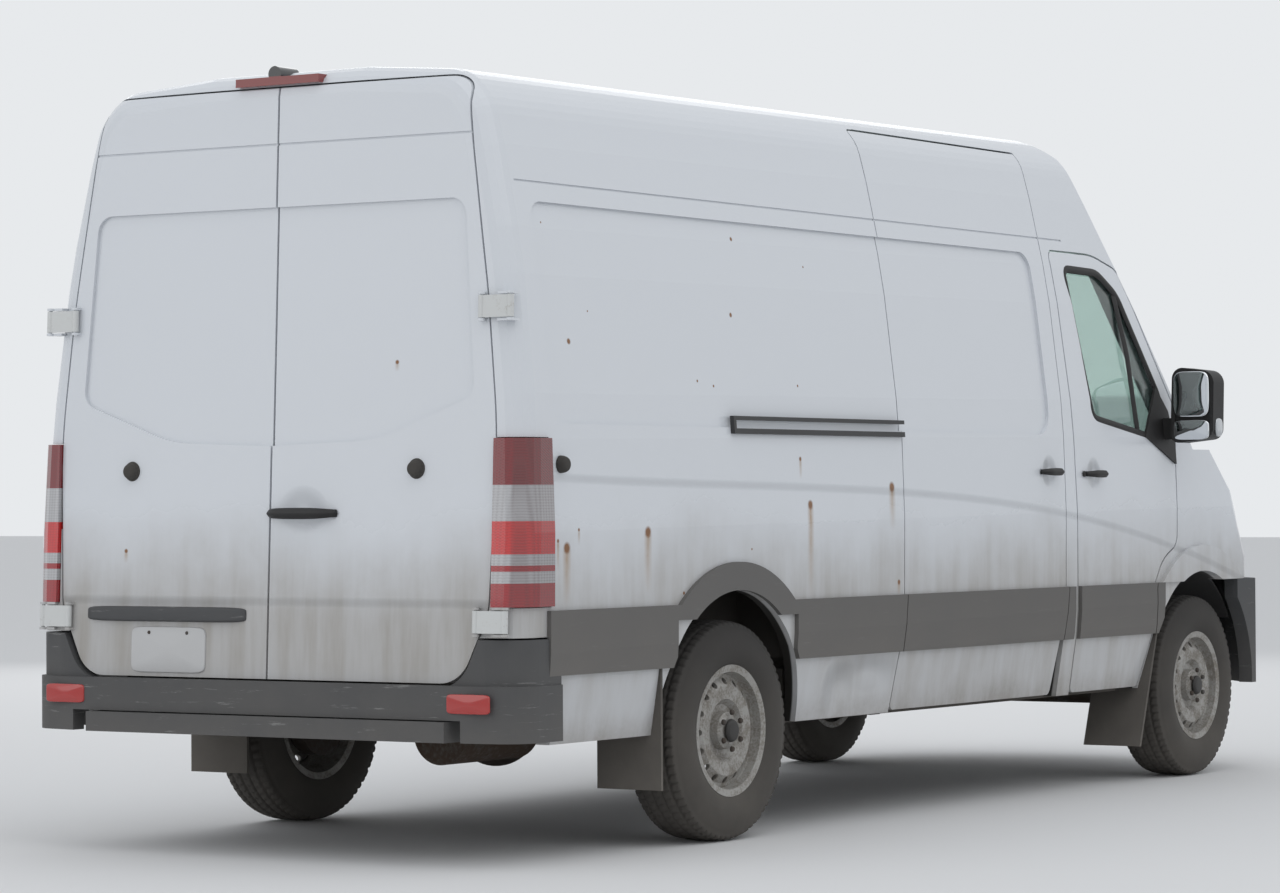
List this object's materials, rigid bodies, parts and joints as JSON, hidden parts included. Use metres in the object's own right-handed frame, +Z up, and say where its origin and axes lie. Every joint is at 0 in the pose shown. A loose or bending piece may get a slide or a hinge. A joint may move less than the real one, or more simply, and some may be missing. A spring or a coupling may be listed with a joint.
{
  "type": "panel van",
  "caption": "Long high-roof panel van with double rear doors on swing-round links, sliding side door, hinged cab doors, lifting bonnet and steered front wheels",
  "frame": {"origin": "on the ground under the middle of the van's length and width", "axes": "+X forward, +Y to the van's left, +Z up"},
  "size_m": [5.9976, 2.4458, 2.5957],
  "materials": {
    "white_paint": "gloss, dirty towards the sills",
    "grey_plastic": "scuffed and dusty",
    "black_plastic": "satin",
    "clear_glass": "tinted slightly green",
    "lamp_clear": "clear lens over a bright reflector",
    "lamp_red": "ribbed lens",
    "chassis_paint": "dirty underbody paint",
    "floor_mat": "matt",
    "dash_plastic": "grained",
    "seat_cloth": "woven",
    "cast_parts": "rough, road grime",
    "dull_steel": "dull, heat stained",
    "flap_rubber": "matt",
    "rim_steel": "silver paint under brake dust",
    "tyre_rubber": "dusty"
  },
  "bodies": {
    "van_body": {"windscreen": "clear_glass", "cab_frame": "white_paint", "roof_panel": "white_paint", "rear_header": "white_paint", "rear_pillar_left": "white_paint", "rear_pillar_right": "white_paint", "side_panel_left": "white_paint", "side_panel_right": "white_paint", "lower_panel_left": "white_paint", "lower_panel_right": "white_paint", "wing_left": "white_paint", "wing_right": "white_paint", "grille": "black_plastic", "headlamps": "lamp_clear", "tail_lamps": "lamp_red", "brake_lamp": "lamp_red", "front_bumper": "grey_plastic", "rear_bumper": "grey_plastic", "rear_step": "grey_plastic", "rub_strip_left": "grey_plastic", "rub_strip_right": "grey_plastic", "rub_strip_slide": "grey_plastic", "sliding_door": "white_paint", "slide_rail": "black_plastic", "chassis_rails": "chassis_paint", "load_floor": "chassis_paint", "wheel_boxes": "chassis_paint", "cab_floor": "floor_mat", "dashboard": "dash_plastic", "seats": "seat_cloth", "engine_block": "cast_parts", "rear_axle": "cast_parts", "front_axle": "cast_parts", "fuel_tank": "black_plastic", "muffler": "dull_steel", "mudflaps": "flap_rubber", "arch_liners": "black_plastic"},
    "door_front_left": {"door_front_left": "white_paint", "door_glass_left": "clear_glass", "rub_strip_door_left": "grey_plastic", "mirror_left": "black_plastic"},
    "door_front_right": {"door_front_right": "white_paint", "door_glass_right": "clear_glass", "rub_strip_door_right": "grey_plastic", "mirror_right": "black_plastic"},
    "rear_link_left": {"hinge_links_left": "white_paint"},
    "rear_link_right": {"hinge_links_right": "white_paint"},
    "rear_door_left": {"rear_door_left": "white_paint"},
    "rear_door_right": {"rear_door_right": "white_paint"},
    "bonnet": {"bonnet": "white_paint"},
    "knuckle_left": {"knuckle_left": "cast_parts"},
    "knuckle_right": {"knuckle_right": "cast_parts"},
    "wheel_front_left": {"rim_front_left": "rim_steel", "tyre_front_left": "tyre_rubber"},
    "wheel_front_right": {"rim_front_right": "rim_steel", "tyre_front_right": "tyre_rubber"},
    "wheel_rear_left": {"rim_rear_left": "rim_steel", "tyre_rear_left": "tyre_rubber"},
    "wheel_rear_right": {"rim_rear_right": "rim_steel", "tyre_rear_right": "tyre_rubber"}
  },
  "joints": [
    {"name": "rear_link_left_pin", "type": "hinge", "parent": "van_body", "child": "rear_link_left", "pos_m": [-2.94088, 0.942, 1], "axis": [-0.0416, 0, -0.9991], "range_deg": [0, 180]},
    {"name": "rear_door_left_pin", "type": "hinge", "parent": "rear_link_left", "child": "rear_door_left", "pos_m": [-2.94088, 0.832, 1], "axis": [-0.0416, 0, -0.9991], "range_deg": [0, 90]},
    {"name": "front_door_left_hinge", "type": "hinge", "parent": "van_body", "child": "door_front_left", "pos_m": [1.76416, 0.982, 0.9], "axis": [0, 0, -1], "range_deg": [0, 70]},
    {"name": "steer_left", "type": "hinge", "parent": "van_body", "child": "knuckle_left", "pos_m": [2.01116, 0.79, 0.372], "axis": [0, 0, 1], "range_deg": [-35, 35]},
    {"name": "spin_front_left", "type": "hinge", "parent": "knuckle_left", "child": "wheel_front_left", "pos_m": [2.01116, 0.868, 0.372], "axis": [0, 1, 0], "continuous": true},
    {"name": "spin_rear_left", "type": "hinge", "parent": "van_body", "child": "wheel_rear_left", "pos_m": [-1.65384, 0.868, 0.372], "axis": [0, 1, 0], "continuous": true},
    {"name": "rear_link_right_pin", "type": "hinge", "parent": "van_body", "child": "rear_link_right", "pos_m": [-2.94088, -0.942, 1], "axis": [0.0416, 0, 0.9991], "range_deg": [0, 180]},
    {"name": "rear_door_right_pin", "type": "hinge", "parent": "rear_link_right", "child": "rear_door_right", "pos_m": [-2.94088, -0.832, 1], "axis": [0.0416, 0, 0.9991], "range_deg": [0, 90]},
    {"name": "front_door_right_hinge", "type": "hinge", "parent": "van_body", "child": "door_front_right", "pos_m": [1.76416, -0.982, 0.9], "axis": [0, 0, 1], "range_deg": [0, 70]},
    {"name": "steer_right", "type": "hinge", "parent": "van_body", "child": "knuckle_right", "pos_m": [2.01116, -0.79, 0.372], "axis": [0, 0, 1], "range_deg": [-35, 35]},
    {"name": "spin_front_right", "type": "hinge", "parent": "knuckle_right", "child": "wheel_front_right", "pos_m": [2.01116, -0.868, 0.372], "axis": [0, 1, 0], "continuous": true},
    {"name": "spin_rear_right", "type": "hinge", "parent": "van_body", "child": "wheel_rear_right", "pos_m": [-1.65384, -0.868, 0.372], "axis": [0, 1, 0], "continuous": true},
    {"name": "bonnet_hinge", "type": "hinge", "parent": "van_body", "child": "bonnet", "pos_m": [2.30916, 0, 1.331], "axis": [0, -1, 0], "range_deg": [0, 55]}
  ],
  "couplings": [
    {"joint": "steer_right", "follows": "steer_left", "ratio": 1}
  ]
}
